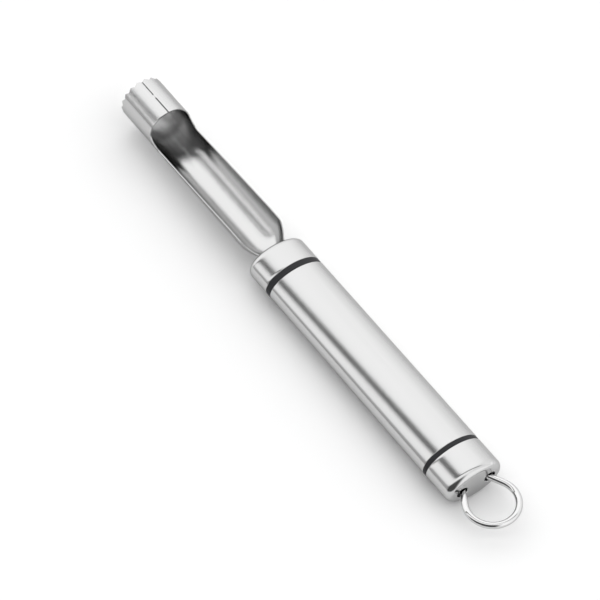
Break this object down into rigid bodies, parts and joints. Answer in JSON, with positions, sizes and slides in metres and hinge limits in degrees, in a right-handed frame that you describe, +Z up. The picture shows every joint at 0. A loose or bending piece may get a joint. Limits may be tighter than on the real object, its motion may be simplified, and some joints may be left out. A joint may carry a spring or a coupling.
{
  "type": "apple corer",
  "caption": "Stainless apple corer: a toothed cutting tube opens into a half-round trough on an oval steel handle with black bands and a wire hanging ring.",
  "frame": {"origin": "on the table under the middle of the corer's overall box, with the corer lying on the broad underside of its handle", "axes": "+X from the teeth to the hanging ring, +Z up with the trough open upward, +Y across the handle"},
  "size_m": [0.2416, 0.0248, 0.0229],
  "materials": {
    "blade_steel": "fine satin, rolled sheet",
    "satin_steel": "satin, brushed along the handle",
    "wire_steel": "polished wire",
    "black_plastic": "matt",
    "grey_plastic": "as moulded",
    "zinc_steel": "zinc plated"
  },
  "bodies": {
    "handle": {"corer_blade": "blade_steel", "front_cap": "satin_steel", "front_band": "black_plastic", "handle_tube": "satin_steel", "rear_band": "black_plastic", "rear_cap": "satin_steel", "front_plug": "grey_plastic", "rear_plug": "grey_plastic", "tie_rod": "zinc_steel", "tang_rivet_front": "zinc_steel", "tang_rivet_rear": "zinc_steel", "tie_washer": "zinc_steel", "tie_nut": "zinc_steel"},
    "ring": {"hanging_ring": "wire_steel"}
  },
  "joints": [
    {"name": "ring_swing", "type": "hinge", "parent": "handle", "child": "ring", "pos_m": [0.09781, 0, 0.00795], "axis": [0, 1, 0], "range_deg": [-18, 18]}
  ]
}
